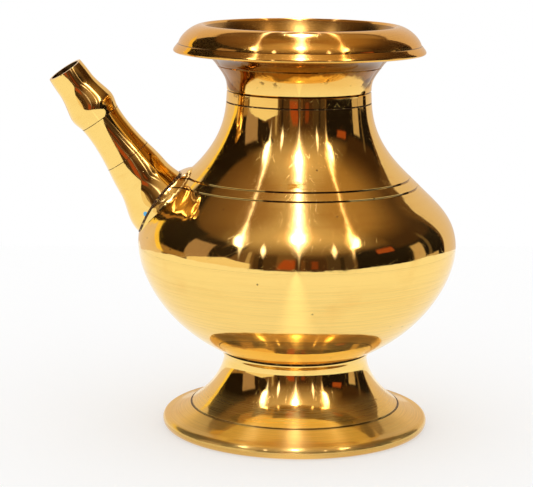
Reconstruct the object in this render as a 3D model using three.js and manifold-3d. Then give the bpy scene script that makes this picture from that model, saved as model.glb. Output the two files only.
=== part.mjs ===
// Spouted water pot in polished cast brass: a round belly on a flared hollow foot,
// a waisted neck with a heavy sloping rim, and a straight tapered spout turned in three sections.
// Millimetres, +Z up. The spout points along -X. The pot stands on z = 0.
import * as THREE from 'three';
import { mergeVertices } from 'three/addons/utils/BufferGeometryUtils.js';
import Module from 'manifold-3d';

const wasm = await Module();
wasm.setup();

// Facets
const segments = 40;
const spoutSegments = 28;
const seatSegments = 64;

// Foot
const footRadius = 63.2;
const footBeadHeight = 5.6;
const footLedge = 5.4;
const footWall = 3;
const footRise = 32;
const waistRadius = 34.4;
const collarRise = 4.8;
const collarFlare = 2;

// Belly
const wall = 2.5;
const bellyRadius = 75;
const bowlRise = 50.2;
const bowlFloorSink = 1.8;
const shoulderInset = 17.8;
const shoulderRise = 29;
const shoulderPitch = Math.PI / 4;
const throatRise = 39.5;

// Neck and rim
const neckRadius = 34.05;
const neckRise = 16;
const neckFlare = 4.3;
const neckFlareAngle = THREE.MathUtils.degToRad(35.5);
const rimRadius = 58.9;
const rimEdgeRise = 7.5;
const rimBeadHeight = 5.4;
const rimSlope = 13.3;
const crestRise = 19.2;
const rimSocketWall = 3.3;
const rimTongue = 1.15;
const rimLapDepth = 3;

// Joints: a tongue of half the wall slides into the piece below and is brazed
const lapDepth = 3.8;
const lapClearance = 0.1;
const lapEndGap = 0.2;
const brazeChamfer = 0.7;
const brazeSlack = 0.08;

// Turned grooves
const grooveHalfWidth = 0.5;
const grooveDepth = 0.4;
const footGrooveRise = 5;
const shoulderGrooveRise = 0.6;
const shoulderGrooveSpacing = 3.6;
const neckGrooveRise = 4.4;

// Spout
const spoutElevation = THREE.MathUtils.degToRad(54.2);
const spoutRise = 21.28;
const spoutRootDepth = 0.96;
const spoutWall = 2;
const spoutFlareRadius = 16.9;
const spoutFlareDrop = 2.2;
const spoutHeelDrop = 11;
const spoutHeelInset = 2.4;
const spoutShankRadius = 13;
const spoutBore = 9;
const spoutRootLength = 26.5;
const spoutLowerSeamRadius = 11.2;
const spoutMiddleLength = 21.8;
const spoutWaistRadius = 9.5;
const spoutUpperSeamRadius = 9.9;
const spoutTipLength = 27.9;
const spoutBulgeRadius = 11.2;
const spoutBulgeRise = 6.1;
const spoutNeckRadius = 8.9;
const spoutTipRadius = 8.4;
const spoutLipHeight = 0.3;
const sectionGap = 0.3;
const sectionLap = 3;
const sectionClearance = 0.3;
const sectionSocketWall = 1;

// Seat of the spout on the shoulder
const seatRise = 12.62;
const seatFall = 14.68;
const seatTopLip = 1.38;
const seatHeelSink = 0.38;
const seatCrown = 3.5;
const seatGap = 0.3;
const seatBead = 0.5;
const seatBeadWidth = 1.8;
const seatBeadClearance = 0.1;

// Places that follow from the sizes
const bowlJointRadius = waistRadius + collarFlare;
const bowlJointHeight = footRise + collarRise;
const footSocketRadius = waistRadius - footWall;
const bellyHeight = bowlJointHeight + bowlRise;
const shoulderRadius = bellyRadius - shoulderInset;
const shoulderHeight = bellyHeight + shoulderRise;
const neckHeight = shoulderHeight + throatRise;
const rimSeamRadius = neckRadius + neckFlare;
const rimSeamHeight = neckHeight + neckRise;
const rimSocketRadius = rimSeamRadius - rimSocketWall;
const rimEdgeHeight = rimSeamHeight + rimEdgeRise;
const crestRadius = rimRadius - rimSlope;
const crestHeight = rimSeamHeight + crestRise;
const brazeRise = brazeChamfer - brazeSlack;
const spoutLowerSeam = spoutRootLength;
const spoutUpperSeam = spoutLowerSeam + spoutMiddleLength;
const spoutEnd = spoutUpperSeam + spoutTipLength;

function pt(radius, height) {
  return new THREE.Vector2(radius, height);
}

function bend(start, startHandle, endHandle, end, steps) {
  return new THREE.CubicBezierCurve(start, startHandle, endHandle, end).getPoints(steps);
}

// A point part of the way from one corner to another, with its own share for radius and height
function between(start, end, radiusShare, heightShare) {
  return pt(start.x + (end.x - start.x) * radiusShare, start.y + (end.y - start.y) * heightShare);
}

function along(start, angle, distance) {
  return pt(start.x + Math.sin(angle) * distance, start.y + Math.cos(angle) * distance);
}

function chain(...runs) {
  const out = [];
  for (const run of runs) {
    for (const p of run) {
      const last = out[out.length - 1];
      if (!last || last.distanceTo(p) > 1e-6) {
        out.push(p);
      }
    }
  }
  return out;
}

// A rising run moved inward by a distance, or outward where the distance is negative
function offset(points, distance) {
  return points.map((p, i) => {
    const before = points[Math.max(i - 1, 0)];
    const after = points[Math.min(i + 1, points.length - 1)];
    const direction = after.clone().sub(before).normalize();
    return pt(p.x - direction.y * distance, p.y + direction.x * distance);
  });
}

function radiusAt(points, height) {
  const i = points.findIndex((p) => p.y >= height);
  const share = (height - points[i - 1].y) / (points[i].y - points[i - 1].y);
  return points[i - 1].x + (points[i].x - points[i - 1].x) * share;
}

// A V groove let into a rising run where it passes a given height
function grooved(points, height) {
  const i = points.findIndex((p) => p.y >= height);
  const direction = points[i].clone().sub(points[i - 1]).normalize();
  const middle = pt(radiusAt(points, height), height);
  const low = middle.clone().addScaledVector(direction, -grooveHalfWidth);
  const high = middle.clone().addScaledVector(direction, grooveHalfWidth);
  const floor = pt(middle.x - direction.y * grooveDepth, middle.y + direction.x * grooveDepth);
  const below = points.filter((p) => p.y < low.y - grooveHalfWidth / 2);
  const above = points.filter((p) => p.y > high.y + grooveHalfWidth / 2);
  return [...below, low, floor, high, ...above];
}

// A ring or cup turned about Z from a profile that runs up the outside and down the inside
function turned(profile, count = segments) {
  const closed = [...profile];
  if (closed[0].x > 0 || closed[closed.length - 1].x > 0) {
    closed.push(closed[0].clone());
  }
  const geometry = new THREE.LatheGeometry(closed, count);
  geometry.rotateX(Math.PI / 2);
  return geometry;
}

// One vertex at each corner, with the empty triangles at the axis left out
function weld(geometry) {
  const bare = geometry.clone();
  bare.deleteAttribute('normal');
  bare.deleteAttribute('uv');
  const merged = mergeVertices(bare, 1e-4);
  const index = merged.index.array;
  const kept = [];
  for (let i = 0; i < index.length; i += 3) {
    const [a, b, c] = index.slice(i, i + 3);
    if (a !== b && b !== c && c !== a) {
      kept.push(a, b, c);
    }
  }
  merged.setIndex(kept);
  return merged;
}

function toSolid(geometry) {
  const clean = weld(geometry);
  return new wasm.Manifold(new wasm.Mesh({
    numProp: 3,
    vertProperties: new Float32Array(clean.attributes.position.array),
    triVerts: new Uint32Array(clean.index.array),
  }));
}

function toGeometry(solid) {
  const mesh = solid.getMesh();
  const geometry = new THREE.BufferGeometry();
  geometry.setAttribute('position', new THREE.BufferAttribute(new Float32Array(mesh.vertProperties), 3));
  geometry.setIndex(new THREE.BufferAttribute(new Uint32Array(mesh.triVerts), 1));
  return geometry;
}

// Outer faces of the pot, each a rising run of points

function footFlank(steps = 8) {
  const start = pt(footRadius - footLedge, footBeadHeight + 0.8);
  const waist = pt(waistRadius, footRise);
  return bend(start, between(start, waist, 0.714, 0.258), between(start, waist, 1, 0.84), waist, steps);
}

function footCollar() {
  const start = pt(waistRadius, footRise);
  const end = pt(bowlJointRadius, bowlJointHeight);
  return bend(start, between(start, end, 0, 0.33), between(start, end, 0.6, 0.69), end, 3);
}

function lowerBowlFace(steps = 10) {
  const start = pt(bowlJointRadius, bowlJointHeight);
  const end = pt(bellyRadius, bellyHeight);
  return bend(start, between(start, end, 0.746, 0.279), between(start, end, 1, 0.777), end, steps);
}

function shoulderFace(steps = 6) {
  const belly = pt(bellyRadius, bellyHeight);
  const turn = pt(shoulderRadius, shoulderHeight);
  const neck = pt(neckRadius, neckHeight);
  const below = along(turn, -shoulderPitch, -belly.distanceTo(turn) * 0.378);
  const above = along(turn, -shoulderPitch, neck.distanceTo(turn) * 0.221);
  return chain(
    bend(belly, between(belly, turn, 0, 0.49), below, turn, steps),
    bend(turn, above, between(turn, neck, 1, 0.481), neck, steps),
  );
}

function neckFace() {
  const start = pt(neckRadius, neckHeight);
  const end = pt(rimSeamRadius, rimSeamHeight);
  return bend(start, between(start, end, 0, 0.4375), along(end, neckFlareAngle, -neckRise * 0.376), end, 5);
}

// Joints

// The piece below ends in a flat ring face with a socket bored behind it
function socket(outerRadius, height, boreRadius, depth) {
  return [
    pt(outerRadius, height),
    pt(boreRadius, height),
    pt(boreRadius, height - depth - lapEndGap),
  ];
}

// The piece above ends in a tongue, and its outer corner is chamfered for the braze
function tongue(outerRadius, height, boreRadius, innerRadius, depth) {
  return [
    pt(innerRadius, height - depth),
    pt(boreRadius - lapClearance, height - depth),
    pt(boreRadius - lapClearance, height),
    pt(outerRadius - brazeChamfer, height),
  ];
}

// The braze that lies in a chamfered corner
function makeBraze(outerRadius, height, rise, sink = 0) {
  return turned([
    pt(outerRadius - brazeChamfer + brazeSlack, height),
    pt(outerRadius - sink, height),
    pt(outerRadius - sink, height + rise - sink),
  ]);
}

// Pieces of the pot

function makeFoot() {
  const bead = [
    pt(footRadius - 2.6, 0),
    pt(footRadius - 0.9, footBeadHeight * 0.14),
    pt(footRadius, footBeadHeight * 0.46),
    pt(footRadius - 0.6, footBeadHeight * 0.84),
    pt(footRadius - 2, footBeadHeight),
  ];
  const outer = chain(bead, grooved(footFlank(), footBeadHeight + footGrooveRise), footCollar());
  const hollow = offset(footFlank(4), footWall).reverse();
  const cone = hollow.filter((p) => p.y > footBeadHeight && p.x > footSocketRadius + 0.5);
  const bore = [pt(footSocketRadius, bowlJointHeight), pt(footSocketRadius, cone[0].y + 1)];
  const soleRadius = footRadius - footLedge - 0.8;
  const sole = [pt(soleRadius, footBeadHeight * 0.4), pt(soleRadius, 0)];
  return turned(chain(outer, bore, cone, sole));
}

function makeLowerBowl() {
  const face = lowerBowlFace();
  const heel = pt(bowlJointRadius + brazeChamfer * 1.4, bowlJointHeight + brazeChamfer);
  const outer = [heel, ...face.slice(1, -1)];
  const joint = socket(bellyRadius, bellyHeight, bellyRadius - wall / 2, lapDepth);
  const ledge = bellyHeight - lapDepth - lapEndGap;
  const inner = offset(lowerBowlFace(6), wall).reverse().filter((p) => p.y < ledge - 0.5);
  const shelf = [pt(bellyRadius - wall - 0.3, ledge)];
  const start = inner[inner.length - 1];
  const centre = pt(0, bowlJointHeight - bowlFloorSink);
  const floor = bend(start, between(start, centre, 0.17, 0.67), between(start, centre, 0.6, 1), centre, 4);
  const spigotRadius = footSocketRadius - lapClearance;
  const under = [
    pt(0, bowlJointHeight - lapDepth),
    pt(spigotRadius, bowlJointHeight - lapDepth),
    pt(spigotRadius, bowlJointHeight),
    pt(bowlJointRadius - brazeChamfer, bowlJointHeight),
  ];
  return turned(chain(outer, joint, shelf, inner, floor, under));
}

function makeUpperBowlShell() {
  const face = shoulderFace();
  const lowGroove = shoulderHeight + shoulderGrooveRise;
  const cut = grooved(grooved(face, lowGroove), lowGroove + shoulderGrooveSpacing);
  const outer = [pt(bellyRadius, bellyHeight + brazeChamfer), ...cut.slice(1, -1)];
  const ledge = neckHeight - lapDepth - lapEndGap;
  const shelf = [pt(neckRadius - wall + 0.15, ledge)];
  const hollow = offset(shoulderFace(4), wall).reverse();
  const inner = hollow.filter((p) => p.y < ledge - 0.3 && p.y > bellyHeight + 1);
  return turned(chain(
    outer,
    socket(neckRadius, neckHeight, neckRadius - wall / 2, lapDepth),
    shelf,
    inner,
    [pt(bellyRadius - wall, bellyHeight)],
    tongue(bellyRadius, bellyHeight, bellyRadius - wall / 2, bellyRadius - wall - 0.15, lapDepth),
  ));
}

function makeNeck() {
  const cut = grooved(neckFace(), neckHeight + neckGrooveRise);
  const outer = [pt(neckRadius, neckHeight + brazeChamfer), ...cut.slice(1, -1)];
  const throat = rimSocketRadius - rimTongue;
  const ledge = rimSeamHeight - rimLapDepth - lapEndGap;
  const start = pt(throat - 0.6, ledge);
  const end = pt(neckRadius - wall, neckHeight);
  const inner = bend(start, between(start, end, 0.5, 0.35), between(start, end, 1, 0.65), end, 3);
  return turned(chain(
    outer,
    socket(rimSeamRadius, rimSeamHeight, rimSocketRadius, rimLapDepth),
    inner,
    tongue(neckRadius, neckHeight, neckRadius - wall / 2, neckRadius - wall, lapDepth),
  ));
}

function makeMouthRim() {
  const seam = pt(rimSeamRadius + 0.5, rimSeamHeight + brazeChamfer);
  const beadLow = pt(rimRadius - 2.6, rimEdgeHeight - rimBeadHeight / 2);
  const beadHigh = pt(rimRadius - 1.2, rimEdgeHeight + rimBeadHeight / 2);
  const crest = pt(crestRadius, crestHeight);
  const throat = pt(rimSocketRadius - rimTongue, rimSeamHeight);
  const underLow = between(seam, beadLow, 0.14, 0.73);
  const under = bend(seam, underLow, between(seam, beadLow, 0.6, 1.4), beadLow, 4);
  const edge = bend(
    beadLow,
    pt(rimRadius + 0.2, rimEdgeHeight - rimBeadHeight * 0.41),
    pt(rimRadius + 0.8, rimEdgeHeight + rimBeadHeight * 0.19),
    beadHigh,
    4,
  );
  const slopeLow = between(beadHigh, crest, 0.21, 0.58);
  const slope = bend(beadHigh, slopeLow, between(beadHigh, crest, 0.65, 0.98), crest, 5);
  const insideHigh = between(crest, throat, 0.22, 0);
  const inside = bend(crest, insideHigh, between(crest, throat, 0.9, 0.69), throat, 5);
  return turned(chain(
    under,
    edge,
    slope,
    inside,
    tongue(rimSeamRadius, rimSeamHeight, rimSocketRadius, throat.x - 0.5, rimLapDepth),
  ));
}

// The spout, drawn against distance along its axis from its root

// Where the shoulder is cut by the XZ plane on the spout's side, moved outward by a distance
function shoulderPoint(height, outward) {
  const face = shoulderFace(12);
  const here = pt(-radiusAt(face, height), height);
  const next = pt(-radiusAt(face, height + 0.5), height + 0.5);
  const rising = next.sub(here).normalize();
  return here.addScaledVector(pt(-rising.y, rising.x), outward);
}

const rootHeight = bellyHeight + spoutRise;
const root = shoulderPoint(rootHeight, -spoutRootDepth);

function toSpout(geometry) {
  geometry.rotateY(spoutElevation - Math.PI / 2);
  geometry.translate(root.x, 0, root.y);
  return geometry;
}

function spoutRootFace() {
  const heel = pt(spoutFlareRadius - spoutHeelInset, -spoutHeelDrop);
  const widest = pt(spoutFlareRadius, -spoutFlareDrop);
  const shank = pt(spoutShankRadius, spoutRootLength * 0.547);
  const seam = pt(spoutLowerSeamRadius, spoutLowerSeam);
  return chain(
    bend(heel, between(heel, widest, 0.6, 0.39), between(heel, widest, 1.08, 0.68), widest, 3),
    bend(widest, between(widest, shank, -0.06, 0.31), between(widest, shank, 0.9, 0.64), shank, 5),
    bend(shank, between(shank, seam, 0.17, 0.34), between(shank, seam, 0.61, 0.68), seam, 3),
  );
}

function spoutMiddleFace() {
  const start = pt(spoutLowerSeamRadius, spoutLowerSeam);
  const end = pt(spoutUpperSeamRadius, spoutUpperSeam);
  const low = pt(spoutWaistRadius + 0.4, start.y + spoutMiddleLength * 0.32);
  const high = pt(spoutWaistRadius - 0.3, end.y - spoutMiddleLength * 0.28);
  return bend(start, low, high, end, 5);
}

function spoutTipFace() {
  const start = pt(spoutUpperSeamRadius, spoutUpperSeam);
  const crown = pt(spoutBulgeRadius, spoutUpperSeam + spoutBulgeRise);
  const neck = pt(spoutNeckRadius, crown.y + (spoutEnd - crown.y) * 0.57);
  const end = pt(spoutTipRadius, spoutEnd);
  return chain(
    bend(start, between(start, crown, 0.46, 0.33), between(start, crown, 1, 0.57), crown, 3),
    bend(crown, between(crown, neck, 0, 0.23), between(crown, neck, 0.9, 0.65), neck, 4),
    bend(neck, between(neck, end, 0.2, 0.43), between(neck, end, 0.2, 0.68), end, 2),
  );
}

// The seat is an arc in the XZ plane, crowned toward the tip and drawn straight across Y
function seatSolid(growth) {
  const top = shoulderPoint(rootHeight + seatRise, seatTopLip);
  const bottom = shoulderPoint(rootHeight - seatFall, -seatHeelSink);
  const half = top.distanceTo(bottom) / 2;
  const radius = (half * half + seatCrown * seatCrown) / (2 * seatCrown);
  const rising = top.clone().sub(bottom).normalize();
  const centre = top.clone().add(bottom).multiplyScalar(0.5);
  centre.addScaledVector(pt(-rising.y, rising.x), seatCrown - radius);
  const width = spoutFlareRadius * 4;
  const geometry = new THREE.CylinderGeometry(radius + growth, radius + growth, width, seatSegments);
  geometry.translate(centre.x, 0, centre.y);
  return toSolid(geometry);
}

// The inside of a rising run as a full solid
function filled(face) {
  const low = face[0].y;
  const high = face[face.length - 1].y;
  return toSolid(turned([pt(0, low), ...face, pt(0, high)]));
}

function makeUpperBowl() {
  const heel = spoutRootFace().filter((p) => p.y < spoutShankRadius);
  const deepest = -spoutHeelDrop - wall;
  const block = [pt(0, deepest), pt(heel[0].x, deepest), ...heel, pt(0, heel[heel.length - 1].y)];
  const boss = toSolid(toSpout(turned(block, spoutSegments)));
  const belowGirth = filled([pt(bellyRadius * 2, 0), pt(bellyRadius * 2, bellyHeight + brazeChamfer)]);
  const hollow = filled(offset(shoulderFace(4), wall));
  const seat = boss.intersect(seatSolid(0)).subtract(hollow).subtract(belowGirth);
  const reach = spoutHeelDrop * 2;
  const drill = [pt(0, -reach), pt(spoutBore, -reach), pt(spoutBore, reach), pt(0, reach)];
  const hole = toSolid(toSpout(turned(drill, spoutSegments)));
  return toGeometry(toSolid(makeUpperBowlShell()).add(seat).subtract(hole));
}

function makeSpoutRoot() {
  const top = spoutLowerSeam - sectionGap;
  const outer = spoutRootFace().filter((p) => p.y < top - 0.3);
  const socketRadius = spoutLowerSeamRadius - sectionSocketWall;
  const profile = chain(outer, [
    pt(spoutLowerSeamRadius, top),
    pt(socketRadius, top),
    pt(socketRadius, top - sectionLap),
    pt(spoutLowerSeamRadius - 2.6, top - sectionLap - 0.4),
    pt(spoutBore, spoutRootLength * 0.53),
    pt(spoutBore + 0.4, spoutRootLength * 0.23),
    pt(spoutFlareRadius - 4.9, -spoutFlareDrop),
    pt(spoutFlareRadius - 4.7, -spoutHeelDrop),
  ]);
  const solid = toSolid(toSpout(turned(profile, spoutSegments)));
  const shoulder = filled(offset(shoulderFace(), -seatGap));
  return toGeometry(solid.subtract(seatSolid(seatGap)).subtract(shoulder));
}

function makeSpoutRootBraze() {
  const face = spoutRootFace().filter((p) => p.y < spoutShankRadius);
  const profile = chain(offset(face, -seatBead), offset(face, -seatBeadClearance).reverse());
  const ring = toSolid(toSpout(turned(profile, spoutSegments)));
  const upper = seatSolid(seatGap + seatBeadWidth / 2);
  const lower = seatSolid(seatGap - seatBeadWidth / 2);
  const shoulder = filled(offset(shoulderFace(), -seatGap));
  return toGeometry(ring.intersect(upper).subtract(lower).subtract(shoulder));
}

function makeSpoutMiddle() {
  const top = spoutUpperSeam - sectionGap;
  const outer = spoutMiddleFace().filter((p) => p.y < top);
  const socketRadius = spoutUpperSeamRadius - sectionSocketWall;
  const tongueRadius = spoutLowerSeamRadius - sectionSocketWall - sectionClearance;
  const boreRadius = tongueRadius - 1.6;
  return toSpout(turned(chain(outer, [
    pt(spoutUpperSeamRadius - 0.02, top),
    pt(socketRadius, top),
    pt(socketRadius, top - sectionLap),
    pt(spoutWaistRadius - spoutWall, top - sectionLap - 0.2),
    pt(spoutWaistRadius - spoutWall, spoutUpperSeam - spoutMiddleLength * 0.55),
    pt(boreRadius, spoutLowerSeam),
    pt(boreRadius, spoutLowerSeam - sectionLap),
    pt(tongueRadius, spoutLowerSeam - sectionLap),
    pt(tongueRadius, spoutLowerSeam),
  ]), spoutSegments));
}

function makeSpoutTip() {
  const tongueRadius = spoutUpperSeamRadius - sectionSocketWall - sectionClearance;
  const crown = spoutUpperSeam + spoutBulgeRise;
  return toSpout(turned(chain(spoutTipFace(), [
    pt(spoutTipRadius - 0.4, spoutEnd + spoutLipHeight),
    pt(spoutTipRadius - spoutWall + 0.3, spoutEnd + spoutLipHeight),
    pt(spoutTipRadius - spoutWall, spoutEnd),
    pt(spoutTipRadius - spoutWall + 0.2, crown + (spoutEnd - crown) * 0.63),
    pt(spoutBulgeRadius - 2.8, crown + spoutBulgeRise * 0.66),
    pt(spoutBulgeRadius - 2.4, crown),
    pt(tongueRadius - 1.2, spoutUpperSeam + 1),
    pt(tongueRadius - 1.4, spoutUpperSeam - sectionLap + 0.2),
    pt(tongueRadius, spoutUpperSeam - sectionLap + 0.2),
    pt(tongueRadius, spoutUpperSeam),
  ]), spoutSegments));
}

// The thin ring of braze standing in the gap between two spout sections
function makeSectionBraze(seamRadius, station) {
  const margin = sectionGap / 5;
  return toSpout(turned([
    pt(seamRadius - 0.9, station - sectionGap + margin),
    pt(seamRadius - 0.25, station - sectionGap + margin),
    pt(seamRadius - 0.25, station - margin),
    pt(seamRadius - 0.9, station - margin),
  ], spoutSegments));
}

const polishedBrass = { color: 0xc9a653, roughness: 0.12, metalness: 1 };
const stainedBrass = { color: 0xb08d45, roughness: 0.3, metalness: 1 };
const brazeMetal = { color: 0x6b5226, roughness: 0.55, metalness: 0.9 };

const pot = new THREE.Group();
pot.name = 'spouted_water_pot';

function add(name, geometry, finish) {
  const mesh = new THREE.Mesh(weld(geometry), new THREE.MeshStandardMaterial(finish));
  mesh.geometry.computeVertexNormals();
  mesh.name = name;
  pot.add(mesh);
}

add('foot', makeFoot(), polishedBrass);
add('foot_braze', makeBraze(bowlJointRadius, bowlJointHeight, brazeChamfer * 0.28), brazeMetal);
add('lower_bowl', makeLowerBowl(), polishedBrass);
add('girth_braze', makeBraze(bellyRadius, bellyHeight, brazeRise), polishedBrass);
add('upper_bowl', makeUpperBowl(), polishedBrass);
add('neck_braze', makeBraze(neckRadius, neckHeight, brazeRise, brazeChamfer * 0.43), brazeMetal);
add('neck', makeNeck(), stainedBrass);
add('rim_braze', makeBraze(rimSeamRadius, rimSeamHeight, brazeChamfer * 0.5), brazeMetal);
add('mouth_rim', makeMouthRim(), polishedBrass);
add('spout_root', makeSpoutRoot(), polishedBrass);
add('spout_root_braze', makeSpoutRootBraze(), brazeMetal);
add('spout_lower_braze', makeSectionBraze(spoutLowerSeamRadius, spoutLowerSeam), brazeMetal);
add('spout_middle', makeSpoutMiddle(), polishedBrass);
add('spout_upper_braze', makeSectionBraze(spoutUpperSeamRadius, spoutUpperSeam), brazeMetal);
add('spout_tip', makeSpoutTip(), polishedBrass);

// The origin is at the middle of the whole outline, on the ground
const outline = new THREE.Box3().setFromObject(pot);
for (const mesh of pot.children) {
  mesh.geometry.translate(-(outline.min.x + outline.max.x) / 2, 0, 0);
}

export default pot;
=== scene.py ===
import math

import bpy
from mathutils import Matrix, Vector


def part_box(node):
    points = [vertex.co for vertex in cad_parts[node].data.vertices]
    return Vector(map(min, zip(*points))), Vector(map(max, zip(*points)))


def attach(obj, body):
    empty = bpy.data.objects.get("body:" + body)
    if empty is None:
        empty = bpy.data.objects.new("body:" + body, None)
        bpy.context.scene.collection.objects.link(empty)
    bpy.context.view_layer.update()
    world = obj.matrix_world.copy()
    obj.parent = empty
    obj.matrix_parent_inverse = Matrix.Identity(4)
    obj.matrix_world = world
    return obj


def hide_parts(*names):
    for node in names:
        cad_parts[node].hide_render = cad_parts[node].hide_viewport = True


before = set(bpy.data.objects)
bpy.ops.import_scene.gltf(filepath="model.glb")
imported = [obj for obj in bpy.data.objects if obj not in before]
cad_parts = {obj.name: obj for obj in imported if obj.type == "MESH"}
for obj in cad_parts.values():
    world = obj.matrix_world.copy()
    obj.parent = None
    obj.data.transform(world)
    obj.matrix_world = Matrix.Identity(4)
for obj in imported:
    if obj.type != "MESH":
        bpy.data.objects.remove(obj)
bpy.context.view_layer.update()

MM = 0.001


def reach(node):
    low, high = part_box(node)
    return (high.x - low.x) / 2 / MM


def top(node):
    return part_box(node)[1].z / MM


def middle(node):
    low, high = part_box(node)
    return (low + high) / 2


# Main sizes of the pot, in millimetres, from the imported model
AXIS_X = middle("lower_bowl").x
FOOT_RADIUS = reach("foot")
FOOT_SEAM = top("foot")
BELLY_RADIUS = reach("lower_bowl")
GIRTH = top("lower_bowl")
NECK_SEAM = top("upper_bowl") - 0.8
RIM_SEAM = top("neck")
RIM_RADIUS = reach("mouth_rim")
CREST = top("mouth_rim")

# Foot
BEAD_HEIGHT = 5.7
FOOT_WALL = 3
WAIST = (34.3, 32.8)
COLLAR_RADIUS = 35.2
FOOT_GROOVE = 10.6

# Bowl
WALL = 2.5
SHOULDER = (57.2, 116.0)
NECK_RADIUS = 34.05
SHOULDER_GROOVES = (116.6, 120.2)

# Neck and rim
NECK_GROOVE = 160.2
RIM_SEAM_RADIUS = 38.35
RIM_SOCKET_RADIUS = 35.05
RIM_BEAD_LOW = (RIM_RADIUS - 2.6, 177.8)
RIM_BEAD_HIGH = (RIM_RADIUS - 1.9, 181.7)
CREST_RADIUS = 45.6
THROAT_RADIUS = 33.9

# Lapped joints and grooves
LAP_DEPTH = 3.8
LAP_END_GAP = 0.2
LAP_CLEARANCE = 0.1
CHAMFER = 0.7
GROOVE_HALF_WIDTH = 0.55
GROOVE_DEPTH = 0.5

# Spout, in distance along its axis from the root
LOWER_SEAM = 26.5
UPPER_SEAM = 48.3
SPOUT_END = 76.2
SECTION_GAP = 0.3
LOWER_SEAM_RADIUS = 11.2
UPPER_SEAM_RADIUS = 9.9
FLARE_RADIUS = 16.9
SPOUT_BORE = 9.0
LOWER_RING = middle("spout_lower_braze")
UPPER_RING = middle("spout_upper_braze")
SPOUT_AXIS = (UPPER_RING - LOWER_RING).normalized()
SPOUT_SIDE = Vector((-SPOUT_AXIS.z, 0, SPOUT_AXIS.x))
SPOUT_ROOT = LOWER_RING - SPOUT_AXIS * (LOWER_SEAM - SECTION_GAP / 2) * MM

# The seat of the spout is an arc, from the crook above to the heel below, with a fillet around it
SEAT_CROOK = (53.0, 121.9)
SEAT_HEEL = (73.9, 93.5)
SEAT_CROWN = 3.5
SEAT_TUBE_RADIUS = 17.9
SEAT_FILLET_RADIUS = 23.5
SEAT_RAISE = 0.5
SEAT_RAISE_REACH = 11
BRAZE_PROUD = 0.25
# How far the dark seat braze reaches out from the seat's arc and into it: widened so that it is also painted
# shade of the gap between the seat and the spout's root
BRAZE_AND_GAP_SHADE_HIGH = 1.0
BRAZE_AND_GAP_SHADE_LOW = 0.5
HALF_WIDTH_OF_BAR = 40
BAR_STEPS = 720

# Camera, fitted to the photograph's round rings
CAMERA_DISTANCE = 0.8612
CAMERA_HEIGHT = 0.2504
CAMERA_FOCAL_PIXELS = 1848.2
FRAME_WIDTH_PIXELS = 533
CAMERA_PITCH = math.radians(10.73)
CAMERA_YAW = math.radians(-0.958)
CAMERA_ROLL = math.radians(0.66)

# The pot stands turned a little from the camera, which lies this way from its axis
SPOUT_TURN = math.radians(4)
VIEW_RIGHT = (math.cos(SPOUT_TURN), -math.sin(SPOUT_TURN), 0)
VIEW_TOWARD = (-math.sin(SPOUT_TURN), -math.cos(SPOUT_TURN), 0)

TURN_STEPS = 256
SPOUT_STEPS = 160
DRILL_STEPS = 64
SMOOTH_ANGLE = math.radians(32)


def on_pot(radius, height):
    return Vector((AXIS_X - radius * MM, 0, height * MM))


def on_spout(radius, station):
    return SPOUT_ROOT + (SPOUT_AXIS * station - SPOUT_SIDE * radius) * MM


def seat_frame():
    """The middle of the seat's chord, and the directions along it and out from it."""
    crook = Vector((AXIS_X - SEAT_CROOK[0] * MM, 0, SEAT_CROOK[1] * MM))
    heel = Vector((AXIS_X - SEAT_HEEL[0] * MM, 0, SEAT_HEEL[1] * MM))
    rising = (crook - heel).normalized()
    return (crook + heel) / 2, rising, Vector((-rising.z, 0, rising.x)), (crook - heel).length / 2


def on_seat(radius, height):
    middle_of_chord, rising, outward, _ = seat_frame()
    return middle_of_chord + (outward * height - rising * radius) * MM


def lerp(start, end, share):
    return tuple(a + (b - a) * share for a, b in zip(start, end))


def between(start, end, radius_share, height_share):
    return (start[0] + (end[0] - start[0]) * radius_share, start[1] + (end[1] - start[1]) * height_share)


def bezier_piece(curve, start, end):
    """The stretch of a cubic curve between two of its parameters."""
    def halves(points, share):
        left, right = [points[0]], [points[-1]]
        while len(points) > 1:
            points = [lerp(a, b, share) for a, b in zip(points, points[1:])]
            left.append(points[0])
            right.append(points[-1])
        return left, right[::-1]

    beyond = halves(list(curve), start)[1]
    return halves(beyond, (end - start) / (1 - start))[0]


def bezier_at_height(curve, height):
    """Where a rising cubic curve passes a height."""
    low, high = 0.0, 1.0
    for _ in range(40):
        mid = (low + high) / 2
        if bezier_piece(curve, 0, mid)[-1][1] < height:
            low = mid
        else:
            high = mid
    return (low + high) / 2


class Outline:
    """An outline to be turned: distance from the axis and height along it, in millimetres."""

    def __init__(self, radius, height):
        self.knots = [[(radius, height), None, None]]

    def line(self, *points):
        for point in points:
            self.knots.append([point, None, None])
        return self

    def curve(self, leave, arrive, point):
        self.knots[-1][2] = leave
        self.knots.append([point, arrive, None])
        return self

    def grooved_curve(self, leave, arrive, point, heights):
        """A rising curve with a V groove where it passes each height."""
        whole = [self.knots[-1][0], leave, arrive, point]
        done = 0.0
        for height in heights:
            share = bezier_at_height(whole, height)
            ahead = bezier_piece(whole, share, 1)
            tangent = Vector(ahead[1]) - Vector(ahead[0])
            reach_share = GROOVE_HALF_WIDTH / (tangent.length * 3) * (1 - share)
            tangent.normalize()
            run = bezier_piece(whole, done, share - reach_share)
            self.curve(*run[1:])
            inward = Vector((-tangent.y, tangent.x)) * GROOVE_DEPTH
            self.line(tuple(Vector(ahead[0]) + inward), bezier_piece(whole, share + reach_share, 1)[0])
            done = share + reach_share
        self.curve(*bezier_piece(whole, done, 1)[1:])
        return self


def start_fresh():
    if bpy.context.object and bpy.context.object.mode != "OBJECT":
        bpy.ops.object.mode_set(mode="OBJECT")
    bpy.ops.object.select_all(action="DESELECT")


def take(piece):
    start_fresh()
    piece.select_set(True)
    bpy.context.view_layer.objects.active = piece


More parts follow.
